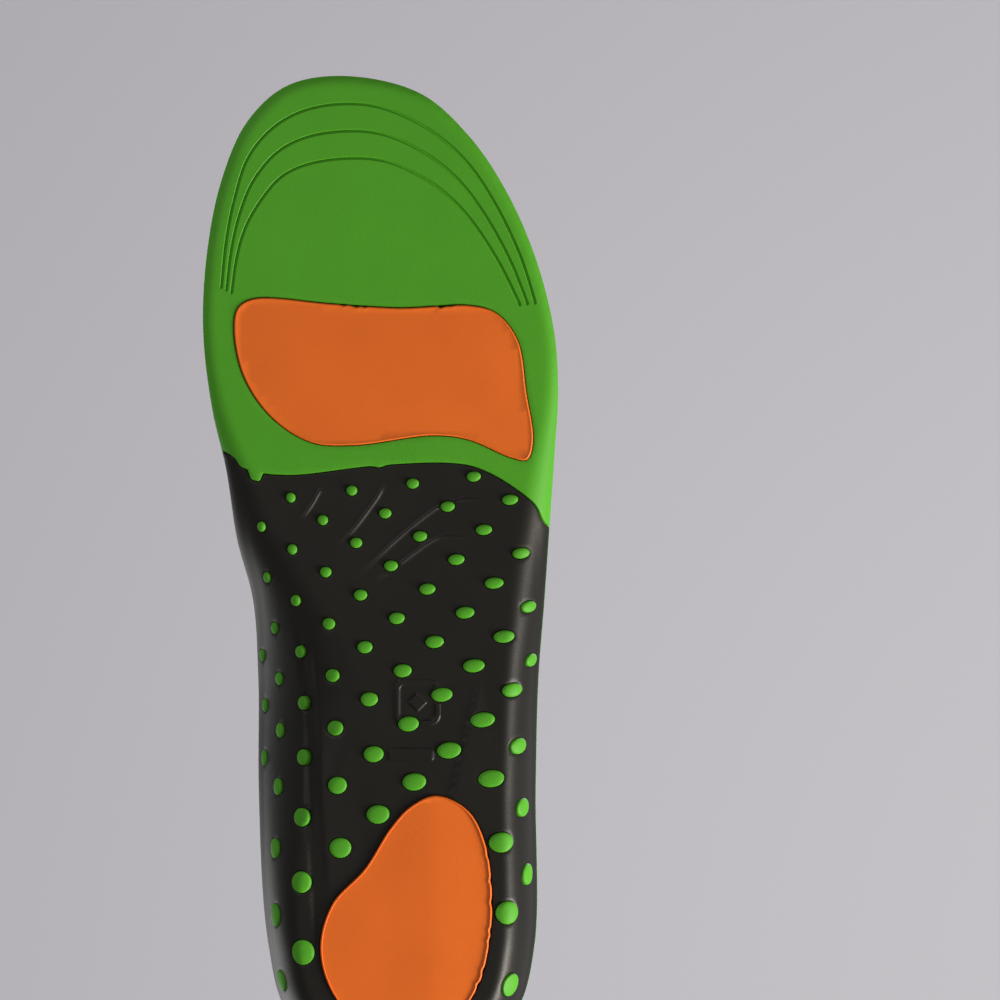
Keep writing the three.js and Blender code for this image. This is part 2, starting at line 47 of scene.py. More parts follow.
# ------------------------------------------------------------------ foam base
# One moulding of green foam the full length of the insole, flat under the ball of the foot and
# turned up round the heel and along the arch. The tool leaves it a bed for the shell, pockets
# for two pads, three trimming grooves round the toe and rows of domed studs.
MM = 0.001  # sizes are in millimetres, and this turns them into metres
NOMINAL_LENGTH = 250
foam_low, foam_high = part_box("foam_base")
LENGTH = NOMINAL_LENGTH * round((foam_high.y - foam_low.y) / (NOMINAL_LENGTH * MM), 3)
HEEL_END = foam_high.y / MM
BALL_WIDTH = 88
WAIST_WIDTH = 70.5
FOREFOOT_THICKNESS = 6
HEEL_THICKNESS = 9
UNDER_LEVEL = 0.4
LIP_HEIGHT = 1.2
CUP_HEIGHT = 18
ARCH_RISE = 10
ARCH_SPREAD = 32
ARCH_SPAN = 18
EDGE_ROUND = 3
CUP_ROUND = 9
FOOT_BOWL_EXTRA = 8
WALL_LEAN = math.radians(75)
EDGE_INSET = 0.5
RIM_WALL = 5.6
RIM_CROWN = 2.2
CURVE_STEPS = 60
FULL_TURN = 2 * math.pi


def along(share):
    """Place on Y, from a share of the length measured from the heel end."""
    return HEEL_END - share * LENGTH


WALL_START = along(0.734)
ROUND_FULL = along(0.494)
WALL_FULL = along(0.254)
ARCH_CENTRE = along(0.382)
TOE_CENTRE = np.array([-0.08 * BALL_WIDTH, along(0.84)])


def hermite(start, end, start_slope, end_slope, t):
    """Points of one cubic stretch, at the shares t."""
    t = np.asarray(t)[:, None]
    bend = 2 * start - 2 * end + start_slope + end_slope
    turn = -3 * start + 3 * end - 2 * start_slope - end_slope
    return ((bend * t + turn) * t + start_slope) * t + start


def even(points, samples, closed):
    """The same line with its points spread evenly along it."""
    line = np.vstack([points, points[:1]]) if closed else points
    run = np.concatenate([[0], np.cumsum(np.linalg.norm(np.diff(line, axis=0), axis=1))])
    places = np.linspace(0, run[-1], samples + 1)
    if closed:
        places = places[:-1]
    return np.column_stack([np.interp(places, run, line[:, axis]) for axis in range(line.shape[1])])


def smooth_loop(points, samples):
    """A smooth closed curve through the given points."""
    p = np.array(points, float)
    count = len(p)
    stretches = []
    for i in range(count):
        a, b, c, d = p[i - 1], p[i], p[(i + 1) % count], p[(i + 2) % count]
        before, here, after = (np.linalg.norm(q - r) ** 0.5 for q, r in ((b, a), (c, b), (d, c)))
        leave = ((b - a) / before - (c - a) / (before + here) + (c - b) / here) * here
        arrive = ((c - b) / here - (d - b) / (here + after) + (d - c) / after) * here
        stretches.append(hermite(b, c, leave, arrive, np.arange(CURVE_STEPS) / CURVE_STEPS))
    return even(np.vstack(stretches), samples, True)


def smooth_line(points, samples):
    """A smooth open curve through the given points."""
    p = np.array(points, float)
    stretches = []
    for i in range(len(p) - 1):
        leave = (p[i + 1] - p[max(i - 1, 0)]) / 2
        arrive = (p[min(i + 2, len(p) - 1)] - p[i]) / 2
        stretches.append(hermite(p[i], p[i + 1], leave, arrive, np.arange(CURVE_STEPS) / CURVE_STEPS))
    return even(np.vstack([*stretches, p[-1:]]), samples, False)


def last_outline():
    """Plan outline of the insole. Each place is a share of the length from the heel end, the
    width that it is graded by, and the share of that width that it lies across."""
    ball, waist = BALL_WIDTH, WAIST_WIDTH
    medial = [
        (1, ball, -0.16), (0.99, ball, -0.32), (0.955, ball, -0.43), (0.9, ball, -0.5),
        (0.83, ball, -0.542), (0.75, ball, -0.555), (0.67, ball, -0.53), (0.61, ball, -0.492),
        (0.54, waist, -0.579), (0.48, waist, -0.528), (0.4, waist, -0.515), (0.29, waist, -0.513),
    ]
    lateral = [
        (0.29, waist, 0.479), (0.4, waist, 0.488), (0.48, waist, 0.509), (0.56, waist, 0.528),
        (0.63, ball, 0.436), (0.69, ball, 0.445), (0.75, ball, 0.432), (0.82, ball, 0.381),
        (0.885, ball, 0.3), (0.94, ball, 0.195), (0.983, ball, 0.055),
    ]
    place = [(across * width, along(share)) for share, width, across in medial]
    turn = np.linspace(math.pi, 0, 7)
    place += [(HEEL_END * math.cos(a), HEEL_END * math.sin(a)) for a in turn]
    place += [(across * width, along(share)) for share, width, across in lateral]
    return smooth_loop(place, 1440)


def stations(q):
    """Spine points and outward directions for places q round the insole: 0 to 1 along the
    lateral side, to 2 round the heel, to 3 along the medial side, to 4 round the toe."""
    q = np.asarray(q, float) % 4
    leg = np.floor(q)
    share = q - leg
    y = np.select([leg == 0, leg == 1, leg == 2], [1 - share, 0 * q, share], 1 + 0 * q)
    angle = np.select([leg == 0, leg == 1, leg == 2], [0 * q, share, 1 + 0 * q], 1 + share) * math.pi
    spine = y[:, None] * TOE_CENTRE
    return spine, np.column_stack([np.cos(angle), np.sin(angle)])


def station_of(points):
    """Place round the insole and distance from the spine, for plan points."""
    held = np.clip(points[:, 1] / TOE_CENTRE[1], 0, 1)
    offset = points - held[:, None] * TOE_CENTRE
    run = np.linalg.norm(offset, axis=1)
    angle = np.arctan2(offset[:, 1], offset[:, 0]) / math.pi % 2
    side = np.where(offset[:, 0] >= 0, 1 - held, 2 + held)
    toe = 2 + np.where(angle < 0.5, angle + 2, angle)
    q = np.where(points[:, 1] > 0, 1 + angle, np.where(held >= 1, toe, side))
    return q, run


def smoothstep(low, high, value):
    """An eased step from 0 at low to 1 at high."""
    share = np.clip((value - low) / (high - low), 0, 1)
    return share * share * (3 - 2 * share)


OUTLINE = last_outline()
TABLE_Q = np.linspace(0, 4, 3201)


def ray_reach():
    """Distance from the spine to the outline, for each place of the table."""
    spine, direction = stations(np.minimum(TABLE_Q, 4 - 1e-9))
    edge = np.roll(OUTLINE, -1, axis=0) - OUTLINE
    reach = np.zeros(len(TABLE_Q))
    for i in range(len(TABLE_Q)):
        cross = direction[i, 0] * edge[:, 1] - direction[i, 1] * edge[:, 0]
        cross = np.where(np.abs(cross) < 1e-12, 1e-12, cross)
        ox, oy = (OUTLINE - spine[i]).T
        distance = (ox * edge[:, 1] - oy * edge[:, 0]) / cross
        share = (ox * direction[i, 1] - oy * direction[i, 0]) / cross
        reach[i] = distance[(share >= -1e-9) & (share <= 1 + 1e-9)].max()
    return reach


def wall_tables():
    """Reach, wall height, wall width and rise, for each place of the table."""
    spine, direction = stations(np.minimum(TABLE_Q, 4 - 1e-9))
    reach = ray_reach()
    edge_y = spine[:, 1] + direction[:, 1] * reach
    arch = (1 - direction[:, 0]) / 2 * np.exp(-(((edge_y - ARCH_CENTRE) / ARCH_SPREAD) ** 2))
    back = smoothstep(WALL_START, WALL_FULL, edge_y)
    height = LIP_HEIGHT + (CUP_HEIGHT - LIP_HEIGHT) * back + ARCH_RISE * arch
    roundness = smoothstep(WALL_START, ROUND_FULL, edge_y)
    width = EDGE_ROUND + (CUP_ROUND - EDGE_ROUND) * roundness + ARCH_SPAN * arch
    rise = np.clip((height - LIP_HEIGHT) / (CUP_HEIGHT - LIP_HEIGHT), 0, 1)
    return reach, height, width, rise


REACH, WALL_HEIGHT, WALL_WIDTH, WALL_RISE = wall_tables()


def at(table, q):
    """A table's value at places q round the insole."""
    return np.interp(q, TABLE_Q, table)


def bowl(share):
    """Bowl profile: 0 on the floor, 1 at the rim, steepening as far as the wall's lean."""
    lean = math.sin(WALL_LEAN)
    full = 1 - math.cos(WALL_LEAN)
    inner = np.clip(share, 0, 1)
    curved = (1 - np.sqrt(1 - (inner * lean) ** 2)) / full
    return curved + np.maximum(share - 1, 0) * lean * math.tan(WALL_LEAN) / full


def under_height(points):
    """Height of the underside over plan points."""
    q, run = station_of(points)
    share = 1 - (at(REACH, q) - run) / at(WALL_WIDTH, q)
    return UNDER_LEVEL + at(WALL_HEIGHT, q) * bowl(share)


def foot_height(points):
    """Height of the foot side over plan points: the floor, dished up to the rim."""
    q, run = station_of(points)
    rise = at(WALL_RISE, q)
    floor = smoothstep(WALL_START, WALL_FULL, points[:, 1])
    floor = FOREFOOT_THICKNESS + (HEEL_THICKNESS - FOREFOOT_THICKNESS) * floor
    flat_crown = FOREFOOT_THICKNESS - UNDER_LEVEL - LIP_HEIGHT
    rim = UNDER_LEVEL + at(WALL_HEIGHT, q) + flat_crown + (RIM_CROWN - flat_crown) * rise
    inset = EDGE_INSET + (RIM_WALL - EDGE_INSET) * rise
    share = 1 - (at(REACH, q) - run - inset) / (at(WALL_WIDTH, q) + FOOT_BOWL_EXTRA * rise)
    return floor + (rim - floor) * bowl(share)


def lifted(surface, points, offset):
    """Plan points put on a height surface and moved up along its normals."""
    step = 0.05  # far enough to read a slope, and short beside the roundings
    sx, sy = np.array([step, 0]), np.array([0, step])
    slope_x = (surface(points + sx) - surface(points - sx)) / (2 * step)
    slope_y = (surface(points + sy) - surface(points - sy)) / (2 * step)
    normal = np.column_stack([-slope_x, -slope_y, np.ones(len(points))])
    normal /= np.linalg.norm(normal, axis=1)[:, None]
    return np.column_stack([points, surface(points)]) + normal * np.reshape(offset, (-1, 1))


WALK_STEPS = 96


def walk_table(q):
    """Distances walked over the underside, and the plan distances from the spine they reach."""
    reach, width, height = at(REACH, q), at(WALL_WIDTH, q), at(WALL_HEIGHT, q)
    start = np.maximum(reach - width, 0)
    share = np.linspace(0, 1, WALK_STEPS + 1)[None, :]
    runs = start[:, None] + (reach - start)[:, None] * share
    z = height[:, None] * bowl(1 - (reach[:, None] - runs) / width[:, None])
    steps = np.hypot(np.diff(runs, axis=1), np.diff(z, axis=1))
    walked = np.concatenate([start[:, None], start[:, None] + np.cumsum(steps, axis=1)], axis=1)
    return walked, runs


def interpolate_rows(x, rows_x, rows_y):
    """Linear interpolation in a table of its own for each point."""
    index = np.clip((rows_x < x[:, None]).sum(axis=1), 1, rows_x.shape[1] - 1)
    row = np.arange(len(x))
    x0, x1 = rows_x[row, index - 1], rows_x[row, index]
    y0, y1 = rows_y[row, index - 1], rows_y[row, index]
    return y0 + (y1 - y0) * (x - x0) / np.maximum(x1 - x0, 1e-9)


def unrolled(points):
    """Plan points laid out flat: as far from the spine as the way over the underside."""
    q, run = station_of(points)
    walked, runs = walk_table(q)
    far = np.where(run < runs[:, 0], run, interpolate_rows(run, runs, walked))
    spine, direction = stations(q)
    return spine + direction * far[:, None]


def rolled(flat):
    """The plan points of a flat layout, and how far each lies from the edge."""
    q, far = station_of(flat)
    walked, runs = walk_table(q)
    run = np.where(far < walked[:, 0], far, interpolate_rows(far, walked, runs))
    spine, direction = stations(q)
    return spine + direction * run[:, None], at(REACH, q) - run


SHELL_SEAT = 2.2
COVER_SEAT = -1.02
BALL_LINE = along(0.766)
FOREFOOT_POCKET = 2.7
HEEL_POCKET = 4.3


def forefoot_outline(samples):
    """Outline of the forefoot pad: shares of the ball width, distances behind the ball line."""
    across_behind = [
        (-0.467, 4), (-0.455, -1), (-0.41, -3.2), (-0.19, -1.9), (0, -0.9), (0.2, -1.5),
        (0.27, 0.3), (0.33, 7), (0.355, 20), (0.374, 32), (0.357, 36.6), (0.31, 36),
        (0.19, 31.6), (0.09, 30.6), (-0.13, 33), (-0.25, 32.3), (-0.36, 26.3), (-0.44, 16),
    ]
    return smooth_loop([(a * BALL_WIDTH, BALL_LINE + b) for a, b in across_behind], samples)


def heel_outline(samples):
    """Outline of the heel pad, in shares of half the heel width."""
    shares = [
        (0.27, -1.14), (0.5, -1.03), (0.63, -0.78), (0.68, -0.35), (0.65, 0), (0.57, 0.28),
        (0.36, 0.55), (0.04, 0.66), (-0.3, 0.55), (-0.52, 0.28), (-0.59, -0.03),
        (-0.5, -0.34), (-0.26, -0.6), (-0.07, -0.9), (0.08, -1.06),
    ]
    return smooth_loop([(a * HEEL_END, b * HEEL_END) for a, b in shares], samples)


def grown(loop, distance):
    """A closed loop, wound clockwise or not, moved outwards by a distance."""
    x, y = loop.T
    area = (x * np.roll(y, -1) - np.roll(x, -1) * y).sum()
    tangent = np.roll(loop, -1, axis=0) - np.roll(loop, 1, axis=0)
    tangent *= math.copysign(1, area) / np.linalg.norm(tangent, axis=1)[:, None]
    return loop + distance * np.column_stack([tangent[:, 1], -tangent[:, 0]])


def shifted(line, distance):
    """An open line moved to its left by a distance."""
    tangent = np.gradient(line, axis=0)
    tangent /= np.linalg.norm(tangent, axis=1)[:, None]
    return line + distance * np.column_stack([-tangent[:, 1], tangent[:, 0]])


def inside(points, loop):
    """Which points lie inside a closed loop."""
    x, y = points[:, :1], points[:, 1:]
    ax, ay = loop.T
    bx, by = np.roll(loop, -1, axis=0).T
    rising = np.where(np.abs(by - ay) < 1e-12, 1e-12, by - ay)
    crossed = ((ay > y) != (by > y)) & (x < ax + (y - ay) * (bx - ax) / rising)
    return crossed.sum(axis=1) % 2 == 1


TONGUE_PLACE = -35.9
TONGUE_HALF = 1.75
TONGUE_LENGTH = 2.2
BURR_PLACE = -5.2
BURR_HALF = 1.5
BURR_LENGTH = 0.5


def front_edge(back):
    """Front edge of the shell, from the medial to the lateral side, moved back by a distance.
    The foam has run past it in two places: a tongue at the medial side and a small burr."""
    half = WAIST_WIDTH / 2
    shares = [
        (-1.887, 0.66), (-1.245, 0.627), (-1.094, 0.61), (-0.755, 0.604), (-0.189, 0.613),
        (0.33, 0.616), (0.613, 0.607), (0.924, 0.578), (1.056, 0.552), (1.415, 0.53), (1.887, 0.52),
    ]
    line = smooth_line([(across * half, along(share)) for across, share in shares], 900)
    line = shifted(line, back)
    tongue = (line[:, 0] - TONGUE_PLACE) / (TONGUE_HALF + back)
    burr = (line[:, 0] - BURR_PLACE) / (BURR_HALF + back)
    line[:, 1] += TONGUE_LENGTH * np.exp(-(tongue**6)) + BURR_LENGTH * np.exp(-(burr**2))
    return line


def from_edge(points):
    """How far plan points lie inside the outline."""
    q, run = station_of(points)
    return at(REACH, q) - run


BED_FRONT_POINTS = 280
BED_SIDE_POINTS = 360


def bed(forward, rim):
    """Closed plan loop round the shell's bed, moved forward and kept a distance off the edge."""
    front = front_edge(-forward)
    front = even(front[from_edge(front) > rim + 0.02], BED_FRONT_POINTS, False)
    q, _ = station_of(front[[0, -1]])
    sides = np.linspace(q[1], q[0], BED_SIDE_POINTS)[1:-1]
    spine, direction = stations(sides)
    return np.vstack([front, spine + direction * (at(REACH, sides) - rim)[:, None]])


FIRST_ROW = -1
LAST_EVEN_ROW = 8
ROW_START = along(0.5924)
ROW_PITCH = 6.5
ROW_GROWTH = 0.17
ROW_TILT = -0.115
ROW_UNTILT = 0.0065
SIDE_COLUMNS = 8
MIDDLE_START = -4.4
MIDDLE_DRIFT = 0.72
COLUMN_PITCH = 7.55
COLUMN_GROWTH = 0.18
PLAIN_COLUMN = -4
LEAST_STUD_WIDTH = 2.2
MOST_STUD_WIDTH = 6.6
MOST_STUD_HEIGHT = 6.2
SHELL_BRIDGE = 0.8
SHELL_RIM_DROP = 0.5
STUD_SIDES = 20


def row_place(row):
    """Place on Y of a row of studs; the rows round the heel lie further and further apart."""
    return ROW_START + ROW_PITCH * row + ROW_GROWTH * max(row - LAST_EVEN_ROW, 0) ** 2


def stud_size(row, column):
    """Width and height of a stud: both grow to the heel, and the width to the lateral side."""
    wider = (column - PLAIN_COLUMN) * (0.2 + 0.035 * row)
    width = 2.1 + 0.012 * row**2 + wider
    height = 2.5 + 0.0145 * row**2
    return min(max(width, LEAST_STUD_WIDTH), MOST_STUD_WIDTH), min(height, MOST_STUD_HEIGHT)


def off_pad(point, pad, clear):
    """A point moved clear of the heel pad, or None if it lies on the pad or nearly."""
    gap = np.linalg.norm(pad - point, axis=1)
    if inside(point[None, :], pad)[0] or gap.min() < clear / 2:
        return None
    nearest = pad[gap.argmin()]
    return nearest + (point - nearest) * max(clear / gap.min(), 1)


def stud_places():
    """Studs on a staggered lattice laid over the underside, which spreads towards the heel.
    Each is its place in the flat layout, its width and its height."""
    studs = []
    shell_loop = unrolled(bed(0, SHELL_RIM_DROP))
    pad = heel_outline(480)
    row = FIRST_ROW
    while row_place(row) < HEEL_END:
        middle_x = MIDDLE_START + MIDDLE_DRIFT * row
        pitch = COLUMN_PITCH + COLUMN_GROWTH * row
        for column in range(-SIDE_COLUMNS, SIDE_COLUMNS + 1):
            if (column + row) % 2 == 0:
                continue
            x = middle_x + column * pitch
            y = row_place(row) + (ROW_TILT + ROW_UNTILT * row) * (x - middle_x)
            width, height = stud_size(row, column)
            clear = width / 2 + SHELL_BRIDGE
            spot = off_pad(np.array([x, y]), pad, clear)
            on_tongue = row == FIRST_ROW and abs(x - TONGUE_PLACE) < TONGUE_HALF
            if spot is None or on_tongue:
                continue
            q, far = station_of(spot[None, :])
            walked, runs = walk_table(q)
            rim = interpolate_rows(at(REACH, q) - SHELL_RIM_DROP, runs, walked)
            if far[0] + clear <= rim[0] and inside(spot[None, :], shell_loop)[0]:
                studs.append((spot, width, height))
        row += 1
    return studs


def ellipse(stud, more, sides=STUD_SIDES, scale=1):
    """Loop round a stud in the flat layout, wider than it by a distance all round."""
    (x, y), width, height = stud
    a = np.arange(sides) * FULL_TURN / sides
    across = (width / 2 + more) * scale * np.cos(a)
    lengthwise = (height / 2 + more) * scale * np.sin(a)
    return np.column_stack([x + across - ROW_TILT * lengthwise, y + lengthwise + ROW_TILT * across])


INNER_POINT = 0
RIM_POINT = 1


class Layout:
    """The flat layout of one moulded face: loops and loose points, each at its own level."""

    def __init__(self):
        self.points = []
        self.levels = []
        self.edges = []
        self.groups = []
        self.count = 0

    def add(self, points, level, group=INNER_POINT):
        """Adds a closed loop of points at one level, joined by edges."""
        numbers = np.arange(self.count, self.count + len(points))
        self.points.append(points)
        self.levels.append(np.broadcast_to(level, len(points)).astype(float))
        self.groups.append(np.full(len(points), group))
        self.edges += zip(numbers.tolist(), np.roll(numbers, -1).tolist())
        self.count += len(points)

    def scatter(self, points, level):
        """Adds loose points at one level."""
        self.points.append(points)
        self.levels.append(np.broadcast_to(level, len(points)).astype(float))
        self.groups.append(np.full(len(points), INNER_POINT))
        self.count += len(points)

    def fill(self, region, spacing, clear, level, keep_out=()):
        """Fills a closed region with a triangular grid that stays clear of what is there."""
        low, high = region.min(axis=0), region.max(axis=0)
        rows = np.arange(low[1], high[1], spacing * math.sqrt(3) / 2)
        grid = []
        for i, y in enumerate(rows):
            x = np.arange(low[0] + spacing / 2 * (i % 2), high[0], spacing)
            grid.append(np.column_stack([x, np.full(len(x), y)]))
        grid = np.vstack(grid)
        grid = grid[inside(grid, region)]
        for loop in keep_out:
            grid = grid[~inside(grid, loop)]
        self.scatter(grid[far_from(grid, np.vstack(self.points), clear)], level)

    def triangles(self):
        """The layout's points, levels, groups and triangles. Where two loops cross there is a
        new point, which takes the level of the nearest one."""
        points = np.vstack(self.points)
        flat, _, faces, origin, _, _ = delaunay_2d_cdt(
            [Vector(p) for p in points], self.edges, [], 0, 1e-7)
        flat = np.array([tuple(p) for p in flat])
        crossing = np.array([not o for o in origin])
        source = np.array([o[0] if o else 0 for o in origin])
        for new in np.where(crossing)[0]:
            source[new] = np.linalg.norm(points - flat[new], axis=1).argmin()
        groups = np.where(crossing, INNER_POINT, np.concatenate(self.groups)[source])
        return flat, np.concatenate(self.levels)[source], groups, np.array(faces)


def far_from(points, others, clear):
    """Which points lie further than a distance from all the others."""
    tree = KDTree(len(others))
    for i, p in enumerate(others):
        tree.insert((p[0], p[1], 0), i)
    tree.balance()
    return np.array([tree.find((p[0], p[1], 0))[2] > clear for p in points])


def new_mesh(name, points, faces):
    """A mesh object from points in millimetres and lists of faces."""
    mesh = bpy.data.meshes.new(name)
    mesh.from_pydata((np.asarray(points) * MM).tolist(), [], [list(map(int, f)) for f in faces])
    mesh.validate()
    piece = bpy.data.objects.new(name, mesh)
    bpy.context.scene.collection.objects.link(piece)
    bpy.ops.object.select_all(action="DESELECT")
    piece.select_set(True)
    bpy.context.view_layer.objects.active = piece
    return piece


STUDS = stud_places()

GROOVE_STEP = 0.9
OUTER_GROOVE = np.array([
    (-0.503, 0.79), (-0.49, 0.835), (-0.468, 0.875), (-0.43, 0.917), (-0.362, 0.947),
    (-0.273, 0.965), (-0.164, 0.972), (-0.05, 0.968), (0.075, 0.948), (0.183, 0.916),
    (0.267, 0.873), (0.337, 0.822), (0.38, 0.775),
])
INNER_GROOVE = np.array([
    (-0.474, 0.785), (-0.461, 0.818), (-0.439, 0.846), (-0.402, 0.871), (-0.34, 0.898),
    (-0.262, 0.912), (-0.156, 0.918), (-0.05, 0.916), (0.044, 0.903), (0.125, 0.884),
    (0.199, 0.857), (0.276, 0.816), (0.337, 0.773),
])


def groove_lines():
    """Middle lines of the trimming grooves, which follow the toe for three shoe sizes."""
    lines = []
    for inward in (0, 0.5, 1):
        shares = OUTER_GROOVE + (INNER_GROOVE - OUTER_GROOVE) * inward
        line = np.column_stack([shares[:, 0] * BALL_WIDTH, along(shares[:, 1])])
        length = np.linalg.norm(np.diff(line, axis=0), axis=1).sum()
        lines.append(smooth_line(line, round(length / GROOVE_STEP)))
    return lines


def band(line, half):
    """Closed loop at a distance round an open line, with round ends."""
    turn = np.linspace(0, math.pi, 7)[1:-1]

    def cap(end, ahead):
        """Half circle round one end of the line."""
        ahead = ahead / np.linalg.norm(ahead)
        left = np.array([-ahead[1], ahead[0]])
        return end + half * (np.cos(turn)[:, None] * -left + np.sin(turn)[:, None] * ahead)

    right, left = shifted(line, -half), shifted(line, half)
    far_end = cap(line[-1], line[-1] - line[-2])
    near_end = cap(line[0], line[0] - line[1])
    return np.vstack([right, far_end, left[::-1], near_end])


FOAM_GRAIN = 1.1
HIDDEN_GRAIN = 2.6
LID_GRAIN = 4
RIM_LOOP = even(OUTLINE, 620, True)

# Steps that round off what is moulded into the foam; a level counts up into it. The bed has
# forward, inset and level; a pocket and a stud's foot outwards and level; a groove half its
# width and level; a stud's dome a share of its size and level.
BED_EDGE = ((0.5, 0.05, 0), (0.28, 0.06, 0.06), (0.15, 0.075, 0.3), (0.12, 0.085, SHELL_SEAT))
POCKET_EDGE = ((0.5, 0), (0.28, 0.07), (0.15, 0.3), (0.12, FOREFOOT_POCKET))
GROOVE_SIDE = ((0.47, 0), (0.34, 0.12), (0.22, 0.4), (0.1, 0.5))
STUD_FOOT = ((0.04, SHELL_SEAT), (0, 0.28), (-0.07, 0.08), (-0.2, -0.08))
STUD_DOME = ((0.7, -0.24), (0.38, -0.34))
STUD_TOP = -0.37


def foam_underside():
    """The face that rests in the shoe, laid out flat, with all that is moulded into it."""
    face = Layout()
    rim = unrolled(RIM_LOOP)
    face.add(rim, 0, RIM_POINT)
    for forward, inset, level in BED_EDGE:
        face.add(unrolled(bed(forward, inset)), level)
    bed_floor = unrolled(bed(0, 0.3))
    keep_out = [unrolled(bed(0.9, 0.02))]
    fore = forefoot_outline(150)
    for wider, level in POCKET_EDGE:
        face.add(grown(fore, wider), level)
    keep_out.append(grown(fore, 0.7))
    for line in groove_lines():
        for half, level in GROOVE_SIDE:
            face.add(unrolled(band(line, half)), level)
        keep_out.append(unrolled(band(line, 0.6)))
    heel = heel_outline(110)
    face.add(grown(heel, 0.33), SHELL_SEAT)
    face.add(grown(heel, 0.28), HEEL_POCKET)
    for stud in STUDS:
        for more, level in STUD_FOOT:
            face.add(ellipse(stud, more), level)
        for scale, level in STUD_DOME:
            face.add(ellipse(stud, 0, scale=scale), level)
        face.scatter(stud[0][None, :], STUD_TOP)
    face.fill(rim, FOAM_GRAIN, 0.6 * FOAM_GRAIN, 0, keep_out)
    bed_keep_out = [ellipse(stud, 0.1) for stud in STUDS]
    bed_keep_out.append(grown(heel, 0.4))
    face.fill(bed_floor, HIDDEN_GRAIN, 0.5 * HIDDEN_GRAIN, SHELL_SEAT, bed_keep_out)
    face.fill(grown(fore, -1), HIDDEN_GRAIN, 1, FOREFOOT_POCKET)
    face.fill(grown(heel, -1), HIDDEN_GRAIN, 1, HEEL_POCKET)
    return face


def without_spill(points, groups, faces, loop):
    """Triangles of a layout without those that lie outside its rim."""
    on_rim = (groups[faces] == RIM_POINT).any(axis=1)
    middle = points[faces].mean(axis=1)
    spill = np.zeros(len(faces), bool)
    spill[on_rim] = ~inside(middle[on_rim], loop)
    return faces[~spill]


RIM_ROLL_IN = 1.1
RIM_ROLL_UP = 0.8


def foam_body():
    """Underside, rolled rim and the face that the cover is bonded to, as one closed body."""
    flat, levels, groups, faces = foam_underside().triangles()
    plan, _ = rolled(flat)
    faces = without_spill(flat, groups, faces, unrolled(RIM_LOOP))
    points = [lifted(under_height, plan, levels)]
    rim = np.where(groups == RIM_POINT)[0]
    rim = rim[np.argsort(station_of(plan[rim])[0])]
    low = points[0][rim]
    q, _ = station_of(plan[rim])
    spine, direction = stations(q)
    inset = EDGE_INSET + (RIM_WALL - EDGE_INSET) * at(WALL_RISE, q)
    top = spine + direction * (at(REACH, q) - inset)[:, None]
    high = lifted(foot_height, top, COVER_SEAT)
    rings = [rim]
    count = len(plan)
    for turn in np.linspace(0, math.pi / 2, 9)[1:]:
        inwards = (1 - math.cos(turn)) ** RIM_ROLL_IN
        upwards = math.sin(turn) ** RIM_ROLL_UP
        points.append(low + (high - low) * np.array([inwards, inwards, upwards]))
        rings.append(np.arange(count, count + len(q)))
        count += len(q)
    quads = []
    for lower, upper in zip(rings[:-1], rings[1:]):
        quads += zip(lower, np.roll(lower, -1), np.roll(upper, -1), upper)
    lid = Layout()
    lid.add(top, 0, RIM_POINT)
    lid.fill(top, LID_GRAIN, 0.5 * LID_GRAIN, 0)
    lid_flat, _, lid_groups, lid_faces = lid.triangles()
    lid_faces = without_spill(lid_flat, lid_groups, lid_faces, top)
    points.append(lifted(foot_height, lid_flat, COVER_SEAT))
    return np.vstack(points), [f[::-1] for f in faces] + quads + [f + count for f in lid_faces]


def close_up(piece, merge):
    """Merges what coincides, turns all faces outwards and smooths all but the sharp edges."""
    bpy.ops.object.mode_set(mode="EDIT")
    bpy.ops.mesh.select_all(action="SELECT")
    bpy.ops.mesh.remove_doubles(threshold=merge * MM)
    bpy.ops.mesh.normals_make_consistent(inside=False)
    bpy.ops.object.mode_set(mode="OBJECT")
    bpy.ops.object.shade_smooth_by_angle(angle=math.radians(38))


foam = new_mesh("moulded_foam_base", *foam_body())
close_up(foam, merge=0.004)


def noise(nodes, links, scale, detail, place):
    """A noise pattern on the piece's own coordinates; scale counts its swirls in a metre."""
    node = nodes.new("ShaderNodeTexNoise")
    node.inputs["Scale"].default_value = scale
    node.inputs["Detail"].default_value = detail
    links.new(place, node.inputs["Vector"])
    return node.outputs["Fac"]


def blend_colours(nodes, links, share, low, high, start=0.35, end=0.65):
    """A colour ramp between two colours, driven by a pattern."""
    ramp = nodes.new("ShaderNodeValToRGB")
    ramp.color_ramp.elements[0].position = start
    ramp.color_ramp.elements[0].color = (*low, 1)
    ramp.color_ramp.elements[1].position = end
    ramp.color_ramp.elements[1].color = (*high, 1)
    links.new(share, ramp.inputs["Fac"])
    return ramp.outputs["Color"]


def bumped(nodes, links, pattern, height, strength, under=None):
    """A bump from a pattern, laid over another bump."""
    bump = nodes.new("ShaderNodeBump")
    bump.inputs["Distance"].default_value = height * MM
    bump.inputs["Strength"].default_value = strength
    links.new(pattern, bump.inputs["Height"])
    if under is not None:
        links.new(under, bump.inputs["Normal"])
    return bump.outputs["Normal"]


